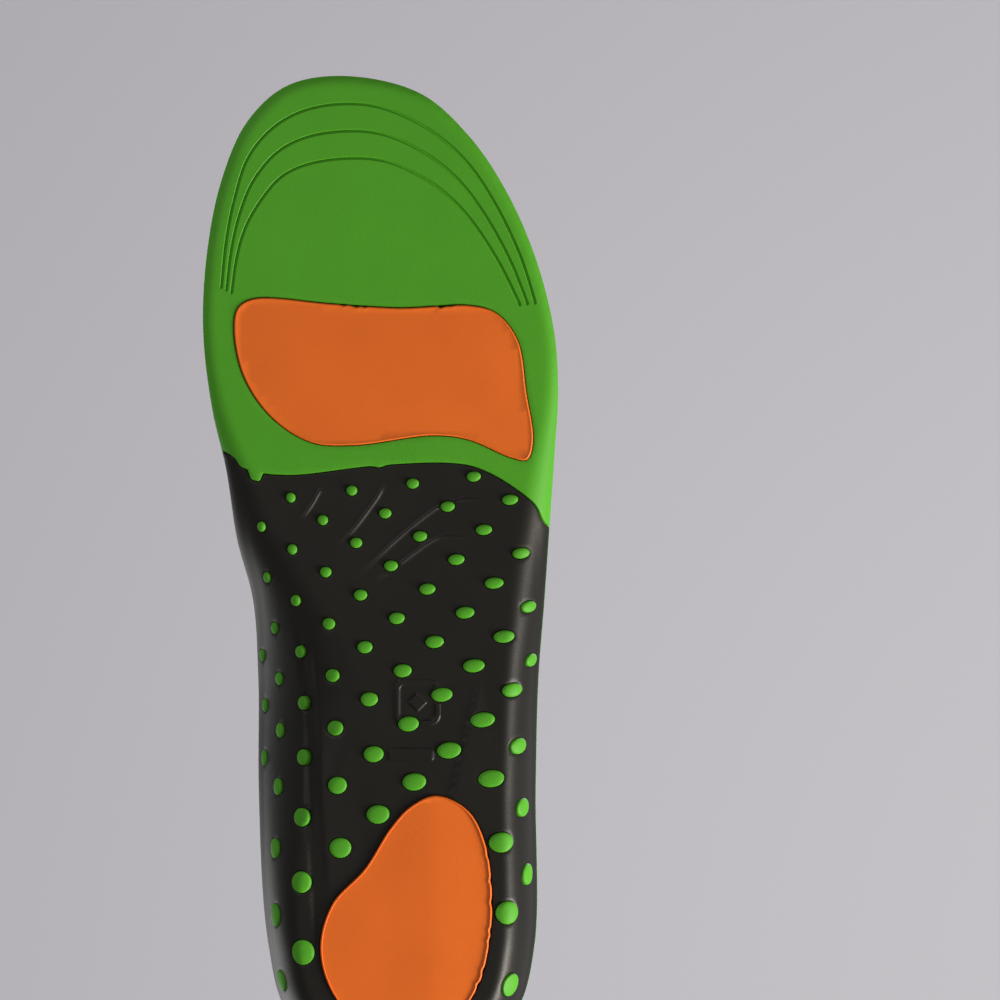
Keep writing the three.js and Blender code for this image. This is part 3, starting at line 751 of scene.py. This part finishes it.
def moulded_finish(name, low, high, roughness, grain, grain_height, specular):
    """Moulded surface: colour that clouds from low to high, a fine grain from the tool, whose
    size and height are in millimetres, and a faint broad waviness."""
    material = bpy.data.materials.new(name)
    material.use_nodes = True
    nodes, links = material.node_tree.nodes, material.node_tree.links
    shader = nodes["Principled BSDF"]
    place = nodes.new("ShaderNodeTexCoord").outputs["Object"]
    cloud = noise(nodes, links, scale=60, detail=4, place=place)
    links.new(blend_colours(nodes, links, cloud, low, high), shader.inputs["Base Color"])
    shader.inputs["Specular IOR Level"].default_value = specular
    shader.inputs["Specular Tint"].default_value = (1, 0.94, 0.85, 1)
    fine = noise(nodes, links, scale=1 / (grain * MM), detail=3, place=place)
    rough = nodes.new("ShaderNodeMapRange")
    rough.inputs["To Min"].default_value = roughness - 0.08
    rough.inputs["To Max"].default_value = roughness + 0.08
    links.new(fine, rough.inputs["Value"])
    links.new(rough.outputs["Result"], shader.inputs["Roughness"])
    broad = noise(nodes, links, scale=140, detail=2, place=place)
    wavy = bumped(nodes, links, broad, height=0.12, strength=0.35)
    grained = bumped(nodes, links, fine, grain_height, strength=0.8, under=wavy)
    links.new(grained, shader.inputs["Normal"])
    return material


foam.data.materials.append(moulded_finish(
    "green_moulded_foam", low=(0.059, 0.288, 0.008), high=(0.064, 0.302, 0.009),
    roughness=0.6, grain=0.32, grain_height=0.05, specular=0.3))
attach(foam, "root")
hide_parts("foam_base")

# ------------------------------------------------------------------ arch and heel shell
# A satin, nearly black moulding 1.5 mm thick that stiffens the arch and the heel. It is moulded
# with its holes, a few thin raised ribs, flat facets and a plain badge, then bonded in its bed.
SHELL_RIM = 0.115
SHELL_OUTER = 0.4
SHELL_INNER = 1.9
SHELL_GRAIN = 0.85
RIM_BEAD = 0.5
RIB_HEIGHT = 0.32
RIB_HALF = 0.33
RIBS = [
    smooth_line([(-19.3, -114.8), (-21.6, -110.4), (-25.4, -105.2)], 16),
    smooth_line([(-3.6, -116.2), (-5.2, -112.5), (-7.9, -108.6), (-12, -103.4), (-17.2, -98.6)], 34),
    smooth_line([(23.6, -110.5), (18.1, -111.6), (13.7, -111.1), (8.9, -109.2), (0, -102.2),
                 (-7.8, -94.9), (-11.6, -92.1), (-16, -90.1)], 66),
    smooth_line([(18.4, -101.8), (11.8, -102.4), (7.9, -101.2), (0.5, -95.9), (-3.5, -93.1),
                 (-9.9, -89)], 46),
]


def to_line(points, line):
    """Distance from points to a line, and the share of its length where it is nearest."""
    gap = np.linalg.norm(points[:, None, :] - line[None, :, :], axis=2)
    return gap.min(axis=1), gap.argmin(axis=1) / (len(line) - 1)


def side_of(points, start, end):
    """Distance from a straight line, counted towards the medial side."""
    start, end = np.array(start, float), np.array(end, float)
    ahead = (end - start) / np.linalg.norm(end - start)
    return (points - start) @ np.array([-ahead[1], ahead[0]])


def rounded_box(points, middle, half, radius):
    """Distance outside a box with round corners, negative inside it."""
    over = np.abs(points - np.array(middle)) - (np.array(half) - radius)
    return np.linalg.norm(np.maximum(over, 0), axis=1) + np.minimum(over.max(axis=1), 0) - radius


CHANNEL_DEPTH = 0.65
CHANNEL_LEFT = ((-25.7, -61.9), (-21.8, -12.4))
CHANNEL_RIGHT = ((-21.5, -61.9), (-17.8, -12.4))
BAND_HEIGHT = 0.4
BAND_EDGE = ((-14.6, -66), (-6.2, -29))
FACET_HEIGHT = 0.5
FACET_INNER = ((19.8, -68.3), (13.1, -39.9))
FACET_OUTER = ((19.8, -68.3), (27.1, -39.9))
BADGE_HEIGHT = 0.36
BADGE = (4.3, -61.3)
BAR = (2.7, -48.3)


def shell_relief(flat):
    """How far the shell's outer face stands proud of its plain surface, in millimetres: a bead
    along the rim, ribs, a sunk channel, a raised band, a facet, and a badge over a bar."""
    q, far = station_of(flat)
    walked, _ = walk_table(q)
    proud = RIM_BEAD * smoothstep(6, 0.6, walked[:, -1] - far)
    for line in RIBS:
        gap, share = to_line(flat, line)
        fade = smoothstep(0, 0.15, share) * smoothstep(1, 0.6, share)
        proud += RIB_HEIGHT * fade * np.exp(-((gap / RIB_HALF) ** 2))
    left = side_of(flat, *CHANNEL_LEFT)
    right = side_of(flat, *CHANNEL_RIGHT)
    band_edge = side_of(flat, *BAND_EDGE)
    inner = side_of(flat, *FACET_INNER)
    outer = side_of(flat, *FACET_OUTER)
    y = flat[:, 1]
    channel = smoothstep(0.4, -0.4, left) * smoothstep(-0.3, 0.3, right)
    slope = np.clip(right / 4, 0, 1)
    proud -= CHANNEL_DEPTH * channel * slope * smoothstep(-84, -66, y) * smoothstep(2, -12, y)
    band = smoothstep(0.3, -0.3, right) * smoothstep(-0.4, 0.4, band_edge)
    slope = np.clip(1 + right / 9, 0, 1)
    proud += BAND_HEIGHT * band * slope * smoothstep(-82, -68, y) * smoothstep(-8, -26, y)
    facet = smoothstep(0.3, -0.3, inner) * smoothstep(-0.3, 0.3, outer)
    slope = np.clip(outer / np.maximum(outer - inner, 0.5), 0, 1)
    proud += FACET_HEIGHT * facet * slope * smoothstep(-70, -62, y) * smoothstep(-22, -36, y)
    badge_frame = np.abs(rounded_box(flat, BADGE, (5, 5), 1.8))
    proud += BADGE_HEIGHT * smoothstep(0.75, 0.45, badge_frame)
    diamond = np.abs(flat - np.array(BADGE)).sum(axis=1)
    proud += BADGE_HEIGHT * smoothstep(2.5, 2.1, diamond)
    proud += BADGE_HEIGHT * smoothstep(0.15, -0.2, rounded_box(flat, BAR, (5.6, 1.5), 0.7))
    return proud


HOLE_SIDES = 22
HEEL_OPENING = 2
FIRST_HOLE = 3


def shell_face():
    """The flat layout of the shell. The edge of each hole is a group of its own, and the two
    loops outside it round the edge off."""
    face = Layout()
    face.add(unrolled(bed(0, SHELL_RIM)), 0.6, RIM_POINT)
    face.add(unrolled(bed(-0.1, SHELL_RIM + 0.012)), 0.46)
    face.add(unrolled(bed(-0.35, SHELL_RIM + 0.04)), SHELL_OUTER)
    region = unrolled(bed(-0.5, SHELL_RIM + 0.07))
    heel = heel_outline(130)
    keep_out = [grown(heel, 0.7)]
    face.add(grown(heel, 0.12), 0.75, HEEL_OPENING)
    face.add(grown(heel, 0.24), 0.5)
    face.add(grown(heel, 0.5), SHELL_OUTER)
    for number, stud in enumerate(STUDS):
        face.add(ellipse(stud, 0.1, HOLE_SIDES), 0.7, FIRST_HOLE + number)
        face.add(ellipse(stud, 0.2, HOLE_SIDES), 0.49)
        face.add(ellipse(stud, 0.45, HOLE_SIDES), SHELL_OUTER)
        keep_out.append(ellipse(stud, 0.7, HOLE_SIDES))
    fine = []
    for line in RIBS:
        for aside in (-0.9, -0.45, -0.2, 0, 0.2, 0.45, 0.9):
            fine.append(shifted(line, aside))
    for middle, half_size in ((BADGE, (6.2, 6.2)), (BAR, (6.4, 2.3))):
        x, y = (np.arange(-half, half, 0.3) for half in half_size)
        fine.append(np.array([(middle[0] + a, middle[1] + b) for a in x for b in y]))
    fine = np.vstack(fine)
    for loop in keep_out:
        fine = fine[~inside(fine, loop)]
    face.scatter(fine, SHELL_OUTER)
    face.fill(region, SHELL_GRAIN, 0.55 * SHELL_GRAIN, SHELL_OUTER, keep_out)
    return face


def shell_body():
    """The shell's outer and inner faces, joined by walls at its edge and round its holes."""
    flat, levels, groups, faces = shell_face().triangles()
    plan, _ = rolled(flat)
    faces = without_spill(flat, groups, faces, unrolled(bed(0, SHELL_RIM)))
    first, second, third = groups[faces].T
    faces = faces[~((first >= HEEL_OPENING) & (first == second) & (second == third))]
    outer = lifted(under_height, plan, levels - shell_relief(flat))
    inner = lifted(under_height, plan, SHELL_INNER)
    count = len(flat)
    edges = {}
    for f in faces:
        for a, b in ((f[0], f[1]), (f[1], f[2]), (f[2], f[0])):
            edges[(a, b)] = True
    walls = [(a, b, b + count, a + count) for a, b in edges if (b, a) not in edges]
    return np.vstack([outer, inner]), [f[::-1] for f in faces] + walls + [f + count for f in faces]


shell = new_mesh("moulded_shell", *shell_body())
close_up(shell, merge=0.002)
shell.data.materials.append(moulded_finish(
    "satin_shell", low=(0.0088, 0.0082, 0.0064), high=(0.0102, 0.0094, 0.0074),
    roughness=0.42, grain=0.4, grain_height=0.03, specular=0.24))
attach(shell, "root")
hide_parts("arch_heel_shell")

# ------------------------------------------------------------------ forefoot and heel pads
# Two soft orange foam pads, moulded first and laid in the tool, so that the green foam closes
# round them. Each stands 0.4 mm proud, with a rolled edge and a few nicks from trimming.
PAD_ROLL = 0.55
PAD_GRID = 2.2
PAD_DOME_REACH = 9
FOREFOOT_PAD_THICKNESS = 2.4
FOREFOOT_PAD_DOME = 0.14
HEEL_PAD_THICKNESS = 4
HEEL_PAD_DOME = 0.1
HEEL_PAD_FOLD = 0.3
FOLD_PLACE = 8
FOLD_REACH = 10


def soft_pad(name, outline, thickness, dome, fold):
    """A pad: a circle bent to its outline, extruded, rolled at its lower edge, domed from its
    edge inwards, and raised away from a fold that runs lengthwise."""
    bpy.ops.object.select_all(action="DESELECT")
    bpy.ops.mesh.primitive_circle_add(vertices=len(outline), radius=1, fill_type="NGON")
    pad = bpy.context.object
    pad.name = name
    for vertex, (x, y) in zip(pad.data.vertices, outline):
        vertex.co = (x * MM, y * MM, 0)
    bpy.ops.object.mode_set(mode="EDIT")
    bpy.ops.mesh.select_all(action="SELECT")
    bpy.ops.mesh.extrude_region_move(TRANSFORM_OT_translate={"value": (0, 0, thickness * MM)})
    bpy.ops.mesh.select_all(action="SELECT")
    bpy.ops.mesh.normals_make_consistent(inside=False)
    bpy.ops.object.mode_set(mode="OBJECT")
    for edge in pad.data.edges:
        edge.select = all(pad.data.vertices[v].co.z < 1e-6 for v in edge.vertices)
    bpy.ops.object.mode_set(mode="EDIT")
    bpy.ops.mesh.select_mode(type="EDGE")
    bpy.ops.mesh.bevel(offset=PAD_ROLL * MM, segments=5, affect="EDGES")
    low, high = outline.min(axis=0), outline.max(axis=0)
    for axis, normal in ((0, (1, 0, 0)), (1, (0, 1, 0))):
        for place in np.arange(low[axis] + 2, high[axis], PAD_GRID):
            at_place = [0, 0, 0]
            at_place[axis] = place * MM
            bpy.ops.mesh.select_all(action="SELECT")
            bpy.ops.mesh.bisect(plane_co=at_place, plane_no=normal)
    bpy.ops.object.mode_set(mode="OBJECT")
    co = np.array([v.co for v in pad.data.vertices]) / MM
    bottom = np.where(co[:, 2] < 1e-4)[0]
    gap, _ = to_line(co[bottom, :2], np.vstack([outline, outline[:1]]))
    for number, distance in zip(bottom, gap):
        rise = dome * (1 - smoothstep(0.5, PAD_DOME_REACH, distance))
        rise += fold * min(abs(co[number, 0] - FOLD_PLACE) / FOLD_REACH, 1)
        pad.data.vertices[number].co.z += rise * MM
    bpy.ops.object.shade_smooth_by_angle(angle=math.radians(40))
    return pad


def nicked(outline, places, seed):
    """An outline with small nicks cut into it at the given places."""
    random = np.random.default_rng(seed)
    centre = outline.mean(axis=0)
    out = outline.copy()
    for x, y in places:
        gap = np.linalg.norm(outline - np.array([x, y]), axis=1)
        depth = random.uniform(0.25, 0.45) * np.exp(-((gap / random.uniform(0.5, 0.9)) ** 2))
        inward = centre - outline
        inward /= np.linalg.norm(inward, axis=1)[:, None]
        out += inward * depth[:, None]
    return out


fore = forefoot_outline(420)
front_side = fore[(np.abs(fore[:, 0]) < 17) & (fore[:, 1] < BALL_LINE + 5)]
fore_nicks = front_side[np.random.default_rng(3).integers(0, len(front_side), 7)]
forefoot_pad = soft_pad(
    "soft_forefoot_pad", nicked(fore, fore_nicks, seed=5),
    FOREFOOT_PAD_THICKNESS, FOREFOOT_PAD_DOME, fold=0)
heel = heel_outline(300)
heel_side = heel[(heel[:, 0] > 10) & (heel[:, 1] > -28) & (heel[:, 1] < 10)]
heel_nicks = heel_side[np.random.default_rng(9).integers(0, len(heel_side), 7)]
heel_pad = soft_pad(
    "soft_heel_pad", nicked(heel, heel_nicks, seed=8),
    HEEL_PAD_THICKNESS, HEEL_PAD_DOME, HEEL_PAD_FOLD)
pad_finish = moulded_finish(
    "orange_soft_foam", low=(0.68, 0.122, 0.008), high=(0.71, 0.13, 0.009),
    roughness=0.58, grain=0.3, grain_height=0.045, specular=0.3)
for pad, node in ((forefoot_pad, "forefoot_pad"), (heel_pad, "heel_pad")):
    pad.data.materials.append(pad_finish)
    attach(pad, "root")
    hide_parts(node)

# ------------------------------------------------------------------ cloth cover
# Charcoal knitted cloth, bonded to the foam over the whole foot side and trimmed with it, so
# its edge shows all round. It is stretched over the cup in moulding and has no free edge.
COVER_THICKNESS = 1
COVER_EDGE_ROUND = 0.28
COVER_RINGS = 26
COVER_SIDE_STEPS = 96
COVER_END_STEPS = 56


def cover_sheet():
    """The foot-side face of the cover, bent from a flat grid: its long side goes round the rim
    and its short side runs in from the rim to the spine. Returns the piece and the outline
    that it is cut to, found by laying each line from the spine to the rim out flat."""
    steps = (COVER_SIDE_STEPS, COVER_END_STEPS, COVER_SIDE_STEPS, COVER_END_STEPS)
    legs = [leg + np.linspace(0, 1, count, endpoint=False) for leg, count in enumerate(steps)]
    q = np.concatenate([*legs, [4]])
    bpy.ops.object.select_all(action="DESELECT")
    bpy.ops.mesh.primitive_grid_add(x_subdivisions=len(q) - 1, y_subdivisions=COVER_RINGS, size=2)
    cover = bpy.context.object
    cover.name = "knitted_top_cover"
    grid = np.array([v.co for v in cover.data.vertices])
    column = np.round((grid[:, 0] + 1) / 2 * (len(q) - 1)).astype(int)
    ring = (grid[:, 1] + 1) / 2
    place = q[column]
    spine, direction = stations(np.where(place >= 4, 0, place))
    inset = EDGE_INSET + (RIM_WALL - EDGE_INSET) * at(WALL_RISE, place)
    run = (at(REACH, place) - inset) * (1 - ring**1.4)
    plan = spine + direction * run[:, None]
    points = lifted(foot_height, plan, 0)
    for vertex, point in zip(cover.data.vertices, points):
        vertex.co = Vector(point) * MM
    order = np.lexsort((run, column))
    step = np.linalg.norm(np.diff(points[order], axis=0), axis=1)
    step = np.concatenate([[0], np.where(np.diff(column[order]) == 0, step, 0)])
    walked = np.zeros(len(order))
    total = np.cumsum(step)
    first = np.searchsorted(column[order], column[order])
    walked[order] = total - total[first]
    cut = spine + direction * walked[:, None]
    uv = cover.data.uv_layers.active or cover.data.uv_layers.new(name="UVMap")
    for loop in cover.data.loops:
        uv.data[loop.index].uv = cut[loop.vertex_index] * MM
    return cover, cut[ring == 0]


cover, cut_line = cover_sheet()
bpy.ops.object.mode_set(mode="EDIT")
bpy.ops.mesh.select_all(action="SELECT")
bpy.ops.mesh.remove_doubles(threshold=0.01 * MM)
bpy.ops.mesh.dissolve_degenerate(threshold=0.001 * MM)
bpy.ops.mesh.normals_make_consistent(inside=False)
bpy.ops.object.mode_set(mode="OBJECT")
if sum(polygon.normal.z * polygon.area for polygon in cover.data.polygons) < 0:
    cover.data.flip_normals()
wall = cover.modifiers.new("thickness", "SOLIDIFY")
wall.thickness = COVER_THICKNESS * MM
wall.offset = -1
wall.use_even_offset = False
bpy.ops.object.modifier_apply(modifier=wall.name)
edge = cover.modifiers.new("cut_edge", "BEVEL")
edge.width = COVER_EDGE_ROUND * MM
edge.segments = 3
edge.limit_method = "ANGLE"
edge.angle_limit = math.radians(50)
bpy.ops.object.modifier_apply(modifier=edge.name)
bpy.ops.object.shade_smooth_by_angle(angle=math.radians(60))


def knitted_cloth():
    """Charcoal warp-knit cloth: small staggered loops in rows, dark between them, and fuzz."""
    material = bpy.data.materials.new("charcoal_knit")
    material.use_nodes = True
    nodes, links = material.node_tree.nodes, material.node_tree.links
    shader = nodes["Principled BSDF"]
    flat = nodes.new("ShaderNodeTexCoord").outputs["UV"]
    waves = []
    for name, turn, pitch in (("wale", 0, 1.1), ("course", math.pi / 2, 0.8)):
        mapping = nodes.new("ShaderNodeMapping")
        mapping.name = name
        mapping.inputs["Rotation"].default_value = (0, 0, turn + math.pi / 4)
        links.new(flat, mapping.inputs["Vector"])
        wave = nodes.new("ShaderNodeTexWave")
        wave.wave_profile = "SIN"
        wave.inputs["Scale"].default_value = FULL_TURN / (20 * pitch * MM)
        wave.inputs["Distortion"].default_value = 0.6
        wave.inputs["Detail Scale"].default_value = 300
        links.new(mapping.outputs["Vector"], wave.inputs["Vector"])
        waves.append(wave.outputs["Fac"])
    loops = nodes.new("ShaderNodeMath")
    loops.operation = "MULTIPLY"
    links.new(waves[0], loops.inputs[0])
    links.new(waves[1], loops.inputs[1])
    knit = loops.outputs["Value"]
    between, yarn = (0.012, 0.013, 0.015), (0.075, 0.08, 0.088)
    colour = blend_colours(nodes, links, knit, between, yarn, start=0.05, end=0.7)
    links.new(colour, shader.inputs["Base Color"])
    shader.inputs["Roughness"].default_value = 0.88
    shader.inputs["Sheen Weight"].default_value = 0.25
    shader.inputs["Sheen Roughness"].default_value = 0.5
    fibres = noise(nodes, links, scale=6000, detail=2, place=flat)
    fuzz = bumped(nodes, links, fibres, height=0.05, strength=0.4)
    raised = bumped(nodes, links, knit, height=0.22, strength=0.9, under=fuzz)
    links.new(raised, shader.inputs["Normal"])
    return material


cover.data.materials.append(knitted_cloth())
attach(cover, "root")
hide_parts("top_cover")

# ------------------------------------------------------------------ table, backdrop and light
# The insole lies on a pale table and is also looked at from beneath, so the table shows only
# from above, and a pale backdrop over the insole shows only from below. Soft boxes light both.


def one_sided(name, colour):
    """Matte card that shows on its front and is clear from behind."""
    material = bpy.data.materials.new(name)
    material.use_nodes = True
    nodes, links = material.node_tree.nodes, material.node_tree.links
    shader = nodes["Principled BSDF"]
    shader.inputs["Base Color"].default_value = (*colour, 1)
    shader.inputs["Roughness"].default_value = 0.9
    shader.inputs["Specular IOR Level"].default_value = 0.1
    mix = nodes.new("ShaderNodeMixShader")
    links.new(nodes.new("ShaderNodeNewGeometry").outputs["Backfacing"], mix.inputs["Fac"])
    links.new(shader.outputs["BSDF"], mix.inputs[1])
    links.new(nodes.new("ShaderNodeBsdfTransparent").outputs["BSDF"], mix.inputs[2])
    links.new(mix.outputs["Shader"], nodes["Material Output"].inputs["Surface"])
    return material


CAMERA_PLACE = Vector((0.02475, -0.1114, -1.2))
VIEW_WIDTH = 0.2475
SENSOR_WIDTH = 36


def card(name, size, place, turned, colour):
    """A square card that throws no shadow and isn't seen in reflections; turned tips it over."""
    bpy.ops.object.select_all(action="DESELECT")
    bpy.ops.mesh.primitive_plane_add(size=size, location=place, rotation=(turned, 0, 0))
    piece = bpy.context.object
    piece.name = name
    piece.data.materials.append(one_sided(name + "_card", colour))
    for kind in ("shadow", "diffuse", "glossy", "transmission"):
        setattr(piece, "visible_" + kind, False)
    return piece


card("table", 8, (0, 0, -0.0004), 0, (0.62, 0.61, 0.62))
card("backdrop", 0.62, (CAMERA_PLACE.x, CAMERA_PLACE.y, 0.8), math.pi, (0.585, 0.57, 0.597))


def soft_box(name, place, size, watts, colour=(1, 1, 1)):
    """A square soft light at a place, aimed at the middle of the insole."""
    light = bpy.data.lights.new(name, "AREA")
    light.shape = "SQUARE"
    light.size = size
    light.energy = watts
    light.color = colour
    lamp = bpy.data.objects.new(name, light)
    bpy.context.scene.collection.objects.link(lamp)
    lamp.location = place
    aim = Vector((0, -0.09, 0)) - Vector(place)
    lamp.rotation_euler = aim.to_track_quat("-Z", "Y").to_euler()
    return lamp


soft_box("key_below", (0.75, 0.3, -0.25), 0.3, 14, (1, 0.985, 0.97))
soft_box("fill_below", (-0.45, -0.55, -0.75), 0.6, 2.2, (0.96, 0.98, 1))
soft_box("key_above", (0.5, -0.6, 0.9), 0.5, 8)
soft_box("fill_above", (-0.7, 0.5, 0.8), 0.9, 4)

world = bpy.data.worlds.new("pale_room")
bpy.context.scene.world = world
world.use_nodes = True
sky = world.node_tree.nodes["Background"]
sky.inputs["Color"].default_value = (0.85, 0.86, 0.9, 1)
sky.inputs["Strength"].default_value = 0.32

camera = bpy.data.objects.new("camera", bpy.data.cameras.new("camera"))
bpy.context.scene.collection.objects.link(camera)
camera.location = CAMERA_PLACE
camera.rotation_euler = (math.pi, 0, 0)
camera.data.sensor_width = SENSOR_WIDTH
camera.data.lens = SENSOR_WIDTH * -CAMERA_PLACE.z / VIEW_WIDTH
camera.data.clip_start = 0.01
bpy.context.scene.camera = camera
bpy.context.scene.view_settings.view_transform = "Standard"
